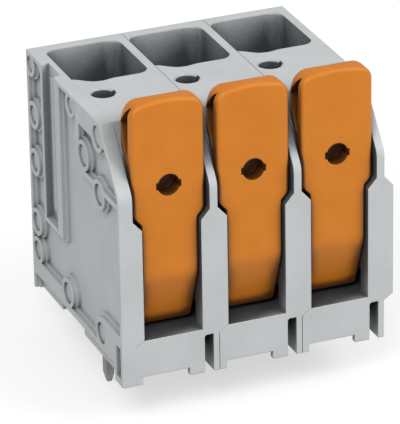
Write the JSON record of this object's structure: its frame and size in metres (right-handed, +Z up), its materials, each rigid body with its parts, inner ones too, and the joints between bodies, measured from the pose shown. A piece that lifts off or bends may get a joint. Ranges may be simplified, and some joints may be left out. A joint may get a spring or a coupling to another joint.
{
  "type": "pcb terminal block",
  "caption": "Grey board terminal block with conductor funnels on top, orange clamping levers in front and solder pins below.",
  "frame": {"origin": "centre of the block on the seating plane, where the housings stand on the board", "axes": "+X to the right along the row of poles, +Y to the rear away from the levers, +Z up away from the board"},
  "size_m": [0.0327, 0.0286, 0.0384],
  "materials": {
    "grey_housing": "satin moulded polyamide, light grey",
    "orange_lever": "satin moulded polyamide, orange",
    "tinned_copper": "tin-plated copper alloy, satin",
    "spring_steel": "chrome nickel spring steel strip"
  },
  "bodies": {
    "block": {"end_plate": "grey_housing", "pole_housing_1": "grey_housing", "pole_housing_2": "grey_housing", "pole_housing_3": "grey_housing", "current_bar_1": "tinned_copper", "current_bar_2": "tinned_copper", "current_bar_3": "tinned_copper", "clamp_spring_1": "spring_steel", "clamp_spring_2": "spring_steel", "clamp_spring_3": "spring_steel"},
    "lever_1": {"lever_1": "orange_lever"},
    "lever_2": {"lever_2": "orange_lever"},
    "lever_3": {"lever_3": "orange_lever"}
  },
  "joints": [
    {"name": "lever_1_hinge", "type": "hinge", "parent": "block", "child": "lever_1", "pos_m": [-0.00967, -0.01075, 0.01], "axis": [1, 0, 0], "range_deg": [0, 90]},
    {"name": "lever_2_hinge", "type": "hinge", "parent": "block", "child": "lever_2", "pos_m": [0.00033, -0.01075, 0.01], "axis": [1, 0, 0], "range_deg": [0, 90]},
    {"name": "lever_3_hinge", "type": "hinge", "parent": "block", "child": "lever_3", "pos_m": [0.01033, -0.01075, 0.01], "axis": [1, 0, 0], "range_deg": [0, 90]}
  ]
}
